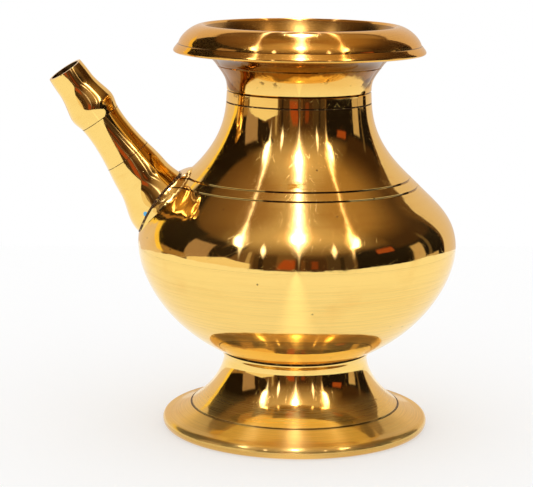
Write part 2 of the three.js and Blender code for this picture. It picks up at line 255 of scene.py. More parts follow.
def turned(name, outline, place=on_pot, steps=TURN_STEPS, fineness=20):
    """A closed outline drawn with bezier points, then spun about its axis."""
    start_fresh()
    bpy.ops.curve.primitive_bezier_curve_add(radius=MM, location=(0, 0, 0))
    drawing = bpy.context.object
    drawing.name = name
    spline = drawing.data.splines[0]
    spline.bezier_points.add(len(outline.knots) - len(spline.bezier_points))
    count = len(outline.knots)
    for index, knot in enumerate(outline.knots):
        point = spline.bezier_points[index]
        point.handle_left_type = "FREE"
        point.handle_right_type = "FREE"
        here, arrive, leave = knot
        before = outline.knots[index - 1][0]
        after = outline.knots[(index + 1) % count][0]
        point.co = place(*here)
        point.handle_left = place(*(arrive or lerp(here, before, 1 / 3)))
        point.handle_right = place(*(leave or lerp(here, after, 1 / 3)))
    spline.use_cyclic_u = True
    drawing.data.resolution_u = fineness
    bpy.ops.object.convert(target="MESH")
    piece = bpy.context.object
    axis = (place(0, 1) - place(0, 0)).normalized()
    bpy.ops.object.mode_set(mode="EDIT")
    bpy.ops.mesh.select_all(action="SELECT")
    bpy.ops.mesh.dissolve_limited(angle_limit=math.radians(0.04))
    bpy.ops.mesh.select_all(action="SELECT")
    bpy.ops.mesh.spin(steps=steps, angle=2 * math.pi, center=place(0, 0), axis=axis)
    bpy.ops.mesh.select_all(action="SELECT")
    bpy.ops.mesh.remove_doubles(threshold=1e-6)
    bpy.ops.mesh.normals_make_consistent(inside=False)
    bpy.ops.object.mode_set(mode="OBJECT")
    bpy.ops.object.shade_smooth_by_angle(angle=SMOOTH_ANGLE)
    return piece


def rest_in_place(piece):
    take(piece)
    bpy.ops.object.transform_apply(location=True, rotation=True, scale=True)


def cut(piece, tool, operation="DIFFERENCE"):
    take(piece)
    modifier = piece.modifiers.new("cut", "BOOLEAN")
    modifier.operation = operation
    modifier.object = tool
    modifier.solver = "EXACT"
    bpy.ops.object.modifier_apply(modifier=modifier.name)
    bpy.data.objects.remove(tool)


def finish_piece(piece, finish, slot, *nodes):
    piece.data.materials.clear()
    piece.data.materials.append(finish)
    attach(piece, "root")
    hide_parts(*nodes)


# Turned pieces of the pot


def make_foot(finish):
    bead = FOOT_RADIUS
    ledge = (bead - 5.4, BEAD_HEIGHT + 0.7)
    outline = Outline(bead - 2.3, 0)
    outline.curve((bead - 0.9, 0.1), (bead, 1.1), (bead, 2.7))
    outline.curve((bead, 4.2), (bead - 0.9, 5.5), (bead - 2.2, BEAD_HEIGHT))
    outline.curve((bead - 3.1, BEAD_HEIGHT + 0.13), (ledge[0] + 0.9, ledge[1] - 0.35), ledge)
    trumpet = between(ledge, WAIST, 0.73, 0.25), between(ledge, WAIST, 1, 0.80), WAIST
    outline.grooved_curve(*trumpet, (FOOT_GROOVE,))
    seam = (COLLAR_RADIUS, FOOT_SEAM)
    outline.curve((WAIST[0], WAIST[1] + 1.3), (seam[0] - 0.3, seam[1] - 1.8), (seam[0], seam[1] - 0.5))
    outline.line((seam[0] - 0.6, seam[1]))
    bore = WAIST[0] - FOOT_WALL
    outline.line((bore, FOOT_SEAM), (bore, WAIST[1] - 1))
    outline.curve((bore, WAIST[1] - 5), (bead - 24.5, 10.4), (bead - 7.2, 3.6))
    outline.line((bead - 6.2, 2.6), (bead - 6.2, 0))
    piece = turned("foot_turned", outline)
    finish_piece(piece, finish, "polished_brass", "foot")
    return piece


def make_lower_bowl(finish):
    seam = (COLLAR_RADIUS, FOOT_SEAM)
    girth = (BELLY_RADIUS, GIRTH)
    whole = [seam, between(seam, girth, 0.746, 0.279), between(seam, girth, 1, 0.777), girth]
    start = bezier_at_height(whole, FOOT_SEAM + CHAMFER)
    face = bezier_piece(whole, start, 1)
    socket = BELLY_RADIUS - WALL / 2
    shelf = GIRTH - LAP_DEPTH - LAP_END_GAP
    outline = Outline(COLLAR_RADIUS - CHAMFER, FOOT_SEAM)
    outline.line(face[0]).curve(*face[1:])
    outline.line((socket, GIRTH), (socket, shelf), (BELLY_RADIUS - WALL - 0.3, shelf))
    outline.curve((BELLY_RADIUS - WALL - 0.6, 76), (62.0, 51.6), (34.0, 38.9))
    outline.curve((25.5, 35.4), (12.0, 35.0), (0, FOOT_SEAM - 1.8))
    outline.line((0, FOOT_SEAM - LAP_DEPTH))
    spigot = WAIST[0] - FOOT_WALL - LAP_CLEARANCE
    outline.line((spigot, FOOT_SEAM - LAP_DEPTH), (spigot, FOOT_SEAM))
    piece = turned("lower_bowl_turned", outline)
    finish_piece(piece, finish, "polished_brass", "lower_bowl")
    return piece


def shoulder_curves():
    girth = (BELLY_RADIUS, GIRTH)
    neck = (NECK_RADIUS, NECK_SEAM)
    low = (Vector(girth) - Vector(SHOULDER)).length * 0.378 * math.sqrt(0.5)
    high = (Vector(neck) - Vector(SHOULDER)).length * 0.251 * math.sqrt(0.5)
    belly = [girth, between(girth, SHOULDER, 0, 0.49), (SHOULDER[0] + low, SHOULDER[1] - low), SHOULDER]
    shoulder_end = (SHOULDER[0] - high, SHOULDER[1] + high)
    slope = [SHOULDER, shoulder_end, between(SHOULDER, neck, 0.947, 0.478), neck]
    return belly, slope


def upper_bowl_outline():
    belly, slope = shoulder_curves()
    start = bezier_at_height(belly, GIRTH + CHAMFER)
    face = bezier_piece(belly, start, 1)
    outline = Outline(BELLY_RADIUS - CHAMFER, GIRTH)
    outline.line(face[0]).curve(*face[1:])
    outline.grooved_curve(*slope[1:], SHOULDER_GROOVES)
    socket = NECK_RADIUS - WALL / 2
    shelf = NECK_SEAM - LAP_DEPTH - LAP_END_GAP
    inner = NECK_RADIUS - WALL
    outline.line((socket, NECK_SEAM), (socket, shelf), (inner + 0.15, shelf))
    outline.curve((inner, 133.5), (47.4, 122.1), (SHOULDER[0] - 1.8, SHOULDER[1] - 1.8))
    outline.curve((64.2, 105.4), (BELLY_RADIUS - WALL, 100.2), (BELLY_RADIUS - WALL, GIRTH))
    lap = BELLY_RADIUS - WALL / 2 - LAP_CLEARANCE
    outline.line((BELLY_RADIUS - WALL - 0.15, GIRTH - LAP_DEPTH), (lap, GIRTH - LAP_DEPTH), (lap, GIRTH))
    return outline


def make_neck(finish):
    seam = (NECK_RADIUS, NECK_SEAM)
    rim = (RIM_SEAM_RADIUS, RIM_SEAM)
    whole = [seam, between(seam, rim, -0.128, 0.535), (rim[0] - 5.15, rim[1] - 6.6), rim]
    face = bezier_piece(whole, bezier_at_height(whole, NECK_SEAM + CHAMFER), 1)
    outline = Outline(NECK_RADIUS - CHAMFER, NECK_SEAM)
    outline.line(face[0]).grooved_curve(*face[1:], (NECK_GROOVE,))
    shelf = RIM_SEAM - 3.2
    outline.line((RIM_SOCKET_RADIUS, RIM_SEAM), (RIM_SOCKET_RADIUS, shelf), (THROAT_RADIUS - 0.6, shelf))
    inner = NECK_RADIUS - WALL
    outline.curve((THROAT_RADIUS - 1.6, 163.9), (inner, 160.2), (inner, NECK_SEAM))
    lap = NECK_RADIUS - WALL / 2 - LAP_CLEARANCE
    outline.line((inner, NECK_SEAM - LAP_DEPTH), (lap, NECK_SEAM - LAP_DEPTH), (lap, NECK_SEAM))
    piece = turned("neck_turned", outline)
    finish_piece(piece, finish, "neck_brass", "neck")
    return piece


def make_mouth_rim(finish):
    seam = (RIM_SEAM_RADIUS + 0.5, RIM_SEAM + CHAMFER)
    crest = (CREST_RADIUS, CREST)
    throat = (THROAT_RADIUS, RIM_SEAM)
    outline = Outline(RIM_SEAM_RADIUS - CHAMFER, RIM_SEAM)
    outline.line(seam)
    underside = between(seam, RIM_BEAD_LOW, 0.14, 0.73), between(seam, RIM_BEAD_LOW, 0.6, 1.4)
    outline.curve(*underside, RIM_BEAD_LOW)
    outline.curve((RIM_RADIUS - 1.2, 177.8), (RIM_RADIUS, 177.9), (RIM_RADIUS, 178.8))
    outline.curve((RIM_RADIUS, 179.4), (RIM_RADIUS - 0.9, 180.4), RIM_BEAD_HIGH)
    arris = (RIM_BEAD_HIGH[0] - 0.35, RIM_BEAD_HIGH[1] + 0.25)
    outline.line(arris)
    outline.curve(between(arris, crest, 0.11, 0.5), between(arris, crest, 0.65, 0.98), crest)
    outline.curve(between(crest, throat, 0.22, 0), between(crest, throat, 0.9, 0.69), throat)
    tongue = RIM_SOCKET_RADIUS - LAP_CLEARANCE
    outline.line((THROAT_RADIUS - 0.5, RIM_SEAM - 3), (tongue, RIM_SEAM - 3), (tongue, RIM_SEAM))
    piece = turned("mouth_rim_turned", outline, fineness=24)
    finish_piece(piece, finish, "polished_brass", "mouth_rim")
    return piece


# Braze rings in the pot's joints


def make_ring_braze(name, radius, seam, rise, sink, finish, slot):
    outline = Outline(radius - CHAMFER + 0.06, seam + 0.02)
    outline.line((radius - sink, seam + 0.02))
    side = radius - sink
    outline.curve((side, seam + rise * 0.4), (side, seam + rise * 0.7), (side, seam + rise - sink))
    piece = turned(name + "_turned", outline, fineness=6)
    finish_piece(piece, finish, slot, name)
    return piece


# The spout and its seat


def root_curves():
    heel = (FLARE_RADIUS - 2.4, -11.0)
    widest = (FLARE_RADIUS, -2.2)
    shank = (13.0, 14.5)
    seam = (LOWER_SEAM_RADIUS, LOWER_SEAM)
    return (
        [heel, between(heel, widest, 0.6, 0.39), between(heel, widest, 1.08, 0.68), widest],
        [widest, between(widest, shank, -0.06, 0.31), between(widest, shank, 0.9, 0.64), shank],
        [shank, between(shank, seam, 0.17, 0.34), between(shank, seam, 0.61, 0.68), seam],
    )


def seat_block(name, growth):
    """A round bar across the pot whose near side is the arc of the seat."""
    middle_of_chord, _, outward, half = seat_frame()
    crown = SEAT_CROWN * MM
    radius = (half * half + crown * crown) / (2 * crown)
    centre = middle_of_chord + outward * (crown - radius)
    start_fresh()
    bpy.ops.mesh.primitive_cylinder_add(vertices=BAR_STEPS, radius=radius + growth * MM,
                                        depth=HALF_WIDTH_OF_BAR * 2 * MM, location=centre,
                                        rotation=(math.pi / 2, 0, 0))
    bar = bpy.context.object
    bar.name = name
    rest_in_place(bar)
    return bar


def bowl_core(name, growth):
    """The bowl's outside as a full solid, grown outward."""
    belly, slope = shoulder_curves()
    outline = Outline(0, GIRTH - 12)
    outline.line((BELLY_RADIUS + growth, GIRTH - 12), (BELLY_RADIUS + growth, GIRTH))
    diagonal = growth * math.sqrt(0.5)
    outline.curve((belly[1][0] + growth, belly[1][1]), (belly[2][0] + diagonal, belly[2][1] + diagonal),
                  (belly[3][0] + diagonal, belly[3][1] + diagonal))
    outline.curve((slope[1][0] + diagonal, slope[1][1] + diagonal), (slope[2][0] + growth, slope[2][1]),
                  (slope[3][0] + growth, slope[3][1]))
    outline.line((0, NECK_SEAM))
    return turned(name, outline)


def raise_seat(piece):
    """Draws the bowl up a little around the spout, as filed braze does."""
    inner_radius = FLARE_RADIUS - 1.2
    lowest_station = -13
    least_from_axis = BELLY_RADIUS - 30
    take(piece)
    bpy.ops.object.mode_set(mode="EDIT")
    bpy.ops.mesh.select_all(action="DESELECT")
    bpy.ops.mesh.select_mode(type="VERT")
    bpy.ops.object.mode_set(mode="OBJECT")
    for vertex in piece.data.vertices:
        offset = vertex.co - SPOUT_ROOT
        station = offset.dot(SPOUT_AXIS)
        away = (offset - SPOUT_AXIS * station).length
        outside = math.hypot(vertex.co.x - AXIS_X, vertex.co.y) > least_from_axis * MM
        proud = station > lowest_station * MM and vertex.normal.dot(SPOUT_AXIS) > 0
        vertex.select = away < inner_radius * MM and proud and outside
    bpy.ops.object.mode_set(mode="EDIT")
    bpy.ops.transform.translate(value=SPOUT_AXIS * SEAT_RAISE * MM, use_proportional_edit=True,
                                proportional_edit_falloff="SMOOTH",
                                proportional_size=SEAT_RAISE_REACH * MM,
                                use_proportional_connected=True)
    bpy.ops.object.mode_set(mode="OBJECT")


def drill_bore(piece, name):
    drill = Outline(0, -24).line((SPOUT_BORE, -24), (SPOUT_BORE, 16), (0, 16))
    cut(piece, turned(name, drill, place=on_spout, steps=DRILL_STEPS, fineness=4))


def make_boss():
    """The raised seat, with a fillet that runs out on the bowl."""
    tube = SEAT_TUBE_RADIUS
    block = Outline(0, -8)
    block.line((SEAT_FILLET_RADIUS + 1.5, -8), (SEAT_FILLET_RADIUS, -3.6))
    block.curve((tube + 3.6, -2.6), (tube + 0.8, 0.6), (tube, 3.8))
    block.line((tube, 6), (0, 6))
    boss = turned("seat_boss", block, place=on_seat, steps=SPOUT_STEPS)
    cut(boss, seat_block("seat_bar", 0), "INTERSECT")
    cut(boss, bowl_core("bowl_core", -1.2))
    return boss


def make_upper_bowl(finish):
    piece = turned("upper_bowl_turned", upper_bowl_outline())
    raise_seat(piece)
    boss = make_boss()
    drill_bore(piece, "spout_drill")
    drill_bore(boss, "boss_drill")
    take(piece)
    boss.select_set(True)
    bpy.ops.object.join()
    piece = bpy.context.object
    bpy.ops.object.shade_smooth_by_angle(angle=SMOOTH_ANGLE)
    finish_piece(piece, finish, "polished_brass", "upper_bowl")
    return piece


def make_spout_root(finish):
    heel, flare, shank = root_curves()
    end = LOWER_SEAM - SECTION_GAP
    outline = Outline(*heel[0])
    outline.curve(*heel[1:]).curve(*flare[1:]).curve(*shank[1:3], (LOWER_SEAM_RADIUS, end))
    socket = LOWER_SEAM_RADIUS - 1
    outline.line((socket, end), (socket, end - 3), (LOWER_SEAM_RADIUS - 2.6, end - 3.4))
    outline.line((SPOUT_BORE, 14.0), (SPOUT_BORE + 0.4, 6.0), (12.0, -2.2), (12.2, -11.0))
    piece = turned("spout_root_turned", outline, place=on_spout, steps=SPOUT_STEPS)
    cut(piece, seat_block("seat_bar", 0.3))
    cut(piece, bowl_core("bowl_core", 0.3))
    take(piece)
    bpy.ops.object.shade_smooth_by_angle(angle=SMOOTH_ANGLE)
    finish_piece(piece, finish, "polished_brass", "spout_root")
    return piece


def widened(curve, growth):
    return [(radius + growth, station) for radius, station in curve]


def make_seat_braze(finish):
    """A collar around the root of the spout, kept only where it meets the seat; its dark band is widened to
    be painted shade of the gap there as well as braze.
    """
    sunk = -0.6
    heel, flare, _ = root_curves()
    outer_heel, outer_flare = widened(heel, BRAZE_PROUD), widened(flare, BRAZE_PROUD)
    inner_heel, inner_flare = widened(heel, sunk)[::-1], widened(flare, sunk)[::-1]
    outline = Outline(*outer_heel[0])
    outline.curve(*outer_heel[1:]).curve(*outer_flare[1:])
    outline.line(inner_flare[0]).curve(*inner_flare[1:]).curve(*inner_heel[1:])
    piece = turned("spout_root_braze_ring", outline, place=on_spout, steps=SPOUT_STEPS)
    # The band is widened so that it is painted shade of the gap as well as braze
    cut(piece, seat_block("seat_bar_high", BRAZE_AND_GAP_SHADE_HIGH), "INTERSECT")
    cut(piece, seat_block("seat_bar_low", -BRAZE_AND_GAP_SHADE_LOW))
    take(piece)
    bpy.ops.object.shade_smooth_by_angle(angle=math.radians(50))
    finish_piece(piece, finish, "braze", "spout_root_braze")
    return piece


def make_spout_middle(finish):
    start = (LOWER_SEAM_RADIUS, LOWER_SEAM)
    end = (UPPER_SEAM_RADIUS, UPPER_SEAM - SECTION_GAP)
    outline = Outline(*start)
    outline.curve((9.9, LOWER_SEAM + 7), (9.2, UPPER_SEAM - 6.1), end)
    socket = UPPER_SEAM_RADIUS - 1
    outline.line((socket, end[1]), (socket, end[1] - 3), (7.5, end[1] - 3.2), (7.5, UPPER_SEAM - 12))
    tongue = LOWER_SEAM_RADIUS - 1.3
    bore = tongue - 1.6
    outline.line((bore, LOWER_SEAM), (bore, LOWER_SEAM - 3), (tongue, LOWER_SEAM - 3), (tongue, LOWER_SEAM))
    piece = turned("spout_middle_turned", outline, place=on_spout, steps=SPOUT_STEPS)
    finish_piece(piece, finish, "polished_brass", "spout_middle")
    return piece


def saw_mouth(piece):
    """Saws the mouth a little aslant, toward the near side, and nicks its edge."""
    toward_viewer = Vector((0, -1, 0))
    facing = (SPOUT_AXIS - SPOUT_SIDE * 0.04 + toward_viewer * 0.09).normalized()
    centre = SPOUT_ROOT + SPOUT_AXIS * (SPOUT_END - 0.42) * MM
    saw_size = 40 * MM
    start_fresh()
    bpy.ops.mesh.primitive_cube_add(size=saw_size, location=centre + facing * saw_size / 2,
                                    rotation=facing.to_track_quat("Z", "Y").to_euler())
    cut(piece, bpy.context.object)
    start_fresh()
    nick = centre + ((SPOUT_SIDE * 0.26 + toward_viewer * 0.966) * 7.9 - SPOUT_AXIS * 0.9) * MM
    bpy.ops.mesh.primitive_uv_sphere_add(segments=16, ring_count=8, radius=0.7 * MM, location=nick)
    cut(piece, bpy.context.object)
    take(piece)
    bpy.ops.object.shade_smooth_by_angle(angle=math.radians(30))


def make_spout_tip(finish):
    start = (UPPER_SEAM_RADIUS, UPPER_SEAM)
    crown = (11.2, UPPER_SEAM + 6.1)
    waist = (8.9, UPPER_SEAM + 18.5)
    end = (8.4, SPOUT_END)
    outline = Outline(*start)
    outline.curve(between(start, crown, 0.30, 0.33), between(start, crown, 0.97, 0.60), crown)
    outline.curve(between(crown, waist, 0, 0.23), between(crown, waist, 0.9, 0.65), waist)
    outline.curve(between(waist, end, 0.2, 0.43), between(waist, end, 0.2, 0.68), end)
    outline.line((8.4, SPOUT_END + 2), (7.2, SPOUT_END + 2), (7.1, SPOUT_END - 2))
    outline.line((6.8, SPOUT_END - 8), (8.4, UPPER_SEAM + 10.1), (8.8, UPPER_SEAM + 6.1))
    tongue = UPPER_SEAM_RADIUS - 1.3
    outline.line((tongue - 1.2, UPPER_SEAM + 1), (tongue - 1.4, UPPER_SEAM - 2.8))
    outline.line((tongue, UPPER_SEAM - 2.8), (tongue, UPPER_SEAM))
    piece = turned("spout_tip_turned", outline, place=on_spout, steps=SPOUT_STEPS)
    saw_mouth(piece)
    finish_piece(piece, finish, "polished_brass", "spout_tip")
    mark_bore(piece)
    return piece


def make_section_braze(name, radius, station, finish):
    """A thin ridge of braze between two sections of the spout."""
    low = station - SECTION_GAP + 0.03
    high = station - 0.03
    outline = Outline(radius - 0.9, low)
    outline.line((radius - 0.02, low))
    outline.curve((radius + 0.12, low + 0.02), (radius + 0.12, high - 0.02), (radius - 0.02, high))
    outline.line((radius - 0.9, high))
    piece = turned(name + "_ring", outline, place=on_spout, steps=SPOUT_STEPS, fineness=6)
    finish_piece(piece, finish, "braze", name)
    return piece


# Shader maths


class Wire:
    """A socket of a shader tree that takes part in ordinary arithmetic."""

    def __init__(self, graph, socket):
        self.graph = graph
        self.socket = socket

    def __add__(self, other):
        return self.graph.maths("ADD", self, other)

    def __radd__(self, other):
        return self.graph.maths("ADD", other, self)

    def __sub__(self, other):
        return self.graph.maths("SUBTRACT", self, other)

    def __rsub__(self, other):
        return self.graph.maths("SUBTRACT", other, self)

    def __mul__(self, other):
        return self.graph.maths("MULTIPLY", self, other)

    def __truediv__(self, other):
        return self.graph.maths("DIVIDE", self, other)

    def __pow__(self, other):
        return self.graph.maths("POWER", self, other)

    def __neg__(self):
        return self.graph.maths("MULTIPLY", self, -1)

    def __abs__(self):
        return self.graph.maths("ABSOLUTE", self)


class Graph:
    """Adds nodes to one shader tree."""

    def __init__(self, tree):
        self.tree = tree

    def add(self, kind, settings=None, inputs=None, output=0):
        node = self.tree.nodes.new(kind)
        for name, value in (settings or {}).items():
            setattr(node, name, value)
        for name, value in (inputs or {}).items():
            socket = node.inputs[name]
            if isinstance(value, Wire):
                self.tree.links.new(value.socket, socket)
            elif socket.type == "RGBA" and len(value) == 3:
                socket.default_value = (*value, 1)
            else:
                socket.default_value = value
        return Wire(self, node.outputs[output]) if node.outputs else node

    def maths(self, operation, *values):
        return self.add("ShaderNodeMath", {"operation": operation}, dict(enumerate(values)))

    def step(self, value, low, high):
        """Rises smoothly from 0 at low to 1 at high."""
        inputs = {"Value": value, "From Min": low, "From Max": high}
        return self.add("ShaderNodeMapRange", {"interpolation_type": "SMOOTHSTEP"}, inputs)

    def band(self, value, low, high, soft):
        return self.step(value, low - soft, low + soft) * (1 - self.step(value, high - soft, high + soft))

    def mix(self, share, first, second):
        return self.add("ShaderNodeMix", {"data_type": "RGBA"}, {0: share, 6: first, 7: second}, 2)

    def shine(self, share, first, second):
        settings = {"data_type": "RGBA", "blend_type": "ADD"}
        return self.add("ShaderNodeMix", settings, {0: share, 6: first, 7: second}, 2)

    def noise(self, vector, scale, detail=2.0, roughness=0.5, seed=None):
        settings = {"noise_dimensions": "3D" if seed is None else "4D"}
        inputs = {"Vector": vector, "Scale": scale, "Detail": detail, "Roughness": roughness}
        if seed is not None:
            inputs["W"] = seed
        return self.add("ShaderNodeTexNoise", settings, inputs)

    def vector(self, x, y, z):
        return self.add("ShaderNodeCombineXYZ", None, {0: x, 1: y, 2: z})

    def dot(self, vector, direction):
        return self.add("ShaderNodeVectorMath", {"operation": "DOT_PRODUCT"}, {0: vector, 1: direction}, 1)

    def distance(self, place, point):
        """Distance of a place on the piece from a point, in millimetres."""
        return self.add("ShaderNodeVectorMath", {"operation": "DISTANCE"}, {0: place, 1: point}, 1) / MM

    def ray_kinds(self):
        """Whether the camera looks straight at this, and whether shiny metal mirrors it."""
        paths = self.tree.nodes.new("ShaderNodeLightPath")
        return Wire(self, paths.outputs["Is Camera Ray"]), Wire(self, paths.outputs["Is Glossy Ray"])


def new_material(name):
    material = bpy.data.materials.new(name)
    material.use_nodes = True
    material.node_tree.nodes.clear()
    return material, Graph(material.node_tree)


def show(graph, shader):
    output = graph.tree.nodes.new("ShaderNodeOutputMaterial")
    graph.tree.links.new(shader.socket, output.inputs["Surface"])


# Brass

# Heights of the grooves and joints that are painted as dark lines, with half their width
DARK_LINES = (
    (FOOT_SEAM, 0.5),
    (FOOT_GROOVE, 0.15),
    (SHOULDER_GROOVES[0], 0.28),
    (SHOULDER_GROOVES[1], 0.28),
    (NECK_SEAM + 0.3, 0.3),
    (NECK_GROOVE, 0.25),
    (181.9, 0.12),
)
DARK_LINE_EDGE = 0.12

# Stretches of height that were brushed along the turning: low and high end, softness, and how much
# of the brushed look shows at the least and more where the turning is coarse
BRUSHED = (
    ("shoulder", 98, 120, 8, 0.05, 0.0),
    ("belly", 38, 80, 5, 0.05, 0.14),
    ("foot", 3, 19, 3, 0.20, 0.16),
    ("foot_ledge", 3, 11, 1.5, 0.36, 0.0),
    ("rim", 176, 190, 2, 0.06, 0.10),
)
BRUSHED_ROUGHNESS = 0.42

# Families of straight scratches: slant, length, width, rarity, and a shift that sets them apart
SCRATCHES = (
    ("rising", 0.5, 9, 0.22, 0.71, 3.1),
    ("falling", -0.7, 7, 0.2, 0.72, 8.4),
    ("steep", 1.3, 6, 0.2, 0.73, 1.7),
)

# Heights that the marks of the turning tool and of handling add or take away, in millimetres
FINE_RINGS = 0.0022
BROAD_RINGS = 0.0045
DENTS = 0.05
SCUFFS = 0.0035
PITS = 0.02

# Heat stain and dullness by height, and the painted shade on the foot's bead
STAIN_EDGE = 169.3
STAIN_RAGGED = 5
STAIN_SWELLS = 12
STAIN_RISES_AT_SPOUT = 7
STAIN_DARKENS = (170, 176)
STAIN_TOP = (177.3, 178.3)
NECK_DEEPENS = (157, 170)
# Painted shade: the bottom of the foot's bead is darkened for the floor's contact shadow that it mirrors
BEAD_SHADE_BAND = (-2, 3.2)

# The metal around the seat is filed by hand, out to a distance from the spout's root
FILED_FROM = 15
FILED_TO = 26
FILED_DEPTH = 0.9

# A fleck of paint on the spout's root, beside the joint
FLECK_PLACE = Vector((-51.07, -14.77, 103.9)) * MM
FLECK_RADIUS = 1.25

BRASS = (1.0, 0.69, 0.205)
DEEP_BRASS = (0.86, 0.45, 0.085)
# Painted shade of the floor's contact shadow, mirrored in the foot's bead
BEAD_SHADE = (0.55, 0.27, 0.06)
# Colour of the inner faces: painted shade inside the pot, its throat and the spout's bore
INNER_BRASS_AND_SHADE = (0.07, 0.035, 0.012)
HEAT_STAIN = (0.30, 0.105, 0.010)
HEAT_STAIN_DEEP = (0.15, 0.052, 0.006)
HEAT_STAIN_DARK = (0.075, 0.026, 0.004)
STAIN = (0.10, 0.04, 0.008)
# Colour of the dark lines painted in the grooves and joints
DARK_LINE_COLOR = (0.045, 0.020, 0.006)
SKY_BLUE = (0.11, 0.48, 0.79)
BRAZE_DARK = (0.022, 0.013, 0.007)
BRAZE_PALE = (0.20, 0.11, 0.05)


class TurnedSurface:
    """Places on a turned surface: around its axis, out from it and along it, in millimetres."""

    def __init__(self, graph, origin, rotation=(0, 0, 0)):
        self.graph = graph
        place = graph.add("ShaderNodeTexCoord", None, None, 3)
        local = graph.add("ShaderNodeMapping", {"vector_type": "TEXTURE"},
                          {"Vector": place, "Location": origin, "Rotation": rotation, "Scale": (MM, MM, MM)})
        parts = graph.tree.nodes.new("ShaderNodeSeparateXYZ")
        graph.tree.links.new(local.socket, parts.inputs[0])
        self.place = place
        self.point = local
        self.x, self.y, self.height = (Wire(graph, socket) for socket in parts.outputs)
        self.radius = (self.x * self.x + self.y * self.y) ** 0.5 + 0.001
        self.cosine = self.x / self.radius
        self.sine = self.y / self.radius
        self.turn = graph.maths("ARCTAN2", self.y, self.x)

    def rings(self, spacing, wander, detail=2.0, shift=0.0):
        """Marks of a turning tool: fine across the rings, long around them."""
        vector = self.graph.vector(self.radius / spacing + shift, self.height / spacing, self.cosine * wander)
        return self.graph.noise(vector, 1.0, detail, 0.6, seed=self.sine * wander)

    def scratches(self, slant, length, width, rarity, shift):
        """Sparse straight scratches that lie at a slant across the surface."""
        graph = self.graph
        around = self.turn * 60
        along = self.height + self.radius * 0.35
        across = around * -math.sin(slant) + along * math.cos(slant)
        forward = around * math.cos(slant) + along * math.sin(slant)
        value = graph.noise(graph.vector(forward / length + shift, across / width, shift), 1.0, 1.0, 0.5)
        return graph.step(value, rarity, rarity + 0.05)


class Wear:
    """Marks of turning, age and handling on brass, each from 0 to 1."""

    def __init__(self, graph, surface):
        self.fine = surface.rings(0.35, 2.2)
        self.broad = surface.rings(2.6, 1.2, shift=7.0)
        self.cloud = graph.noise(surface.point, 0.045, 4.0, 0.6)
        self.hand = graph.noise(surface.point, 0.11, 2.0, 0.5)
        self.tarnish = graph.step(self.cloud, 0.50, 0.78)
        rising, falling, steep = (surface.scratches(*family) for _, *family in SCRATCHES)
        self.scuff = graph.maths("MAXIMUM", graph.maths("MAXIMUM", rising, falling), steep)
        cells = {"Vector": surface.point, "Scale": 0.085, "Randomness": 1.0}
        self.dots = 1 - graph.step(graph.add("ShaderNodeTexVoronoi", None, cells), 0.028, 0.05)


def brass_color(graph, wear):
    color = graph.mix(wear.tarnish * 0.28, BRASS, DEEP_BRASS)
    color = graph.mix(graph.step(wear.fine, 0.5, 0.75) * 0.16, color, DEEP_BRASS)
    color = graph.mix(graph.step(wear.broad, 0.52, 0.8) * 0.22, color, DEEP_BRASS)
    return graph.mix(wear.dots * 0.75, color, STAIN)


def stain_and_shade_pot(graph, surface, color):
    """Heat stain, dark lines in the grooves and joints, and painted shade on the foot's bead."""
    color = stain_neck(graph, surface, color)
    # The grooves and joints are painted as dark lines
    for height, half_width in DARK_LINES:
        line = graph.band(surface.height, height - half_width, height + half_width, DARK_LINE_EDGE)
        color = graph.mix(line * 0.9, color, DARK_LINE_COLOR)
    # Painted shade: the bottom of the foot's bead is darkened for the floor's contact shadow that it mirrors
    return graph.mix(graph.band(surface.height, *BEAD_SHADE_BAND, 1.0) * 0.65, color, BEAD_SHADE)


def stain_neck(graph, surface, color):
    """Heat stain under the rim, cloudy, with a ragged lower edge."""
    ragged = graph.noise(surface.point, 0.16, 5.0, 0.65)
    swell = graph.noise(surface.point, 0.035, 2.0, 0.5)
    beside_spout = graph.step(-surface.cosine, 0.45, 0.95)
    edge = surface.height - STAIN_EDGE + (ragged - 0.5) * STAIN_RAGGED + (swell - 0.5) * STAIN_SWELLS
    edge = edge + beside_spout * STAIN_RISES_AT_SPOUT
    under = graph.step(edge, -0.8, 0.9) * (1 - graph.step(surface.height, *STAIN_TOP))
    color = graph.mix(graph.step(surface.height, *NECK_DEEPENS) * 0.75, color, DEEP_BRASS)
    depth = graph.mix(graph.step(ragged * 0.6 + swell * 0.4, 0.38, 0.62), HEAT_STAIN_DEEP, HEAT_STAIN)
    depth = graph.mix(graph.step(surface.height, *STAIN_DARKENS) * 0.75, depth, HEAT_STAIN_DARK)
    color = graph.mix(under * 0.92, color, depth)
    patches = graph.step(ragged + swell * 0.5, 0.82, 0.92) * graph.band(edge, -3, 5, 1.5)
    rim_of_stain = graph.band(edge, -0.9, 0.5, 0.5) * graph.step(swell, 0.46, 0.6)
    dark = graph.maths("MAXIMUM", patches * 0.8, rim_of_stain * 0.75)
    return graph.mix(dark, color, STAIN)


def brushed_share(graph, surface, wear):
    share = 0.0
    for _, low, high, soft, least, more in BRUSHED:
        amount = graph.step(wear.fine, 0.3, 0.7) * more + least if more else least
        share = graph.band(surface.height, low, high, soft) * amount + share
    return share


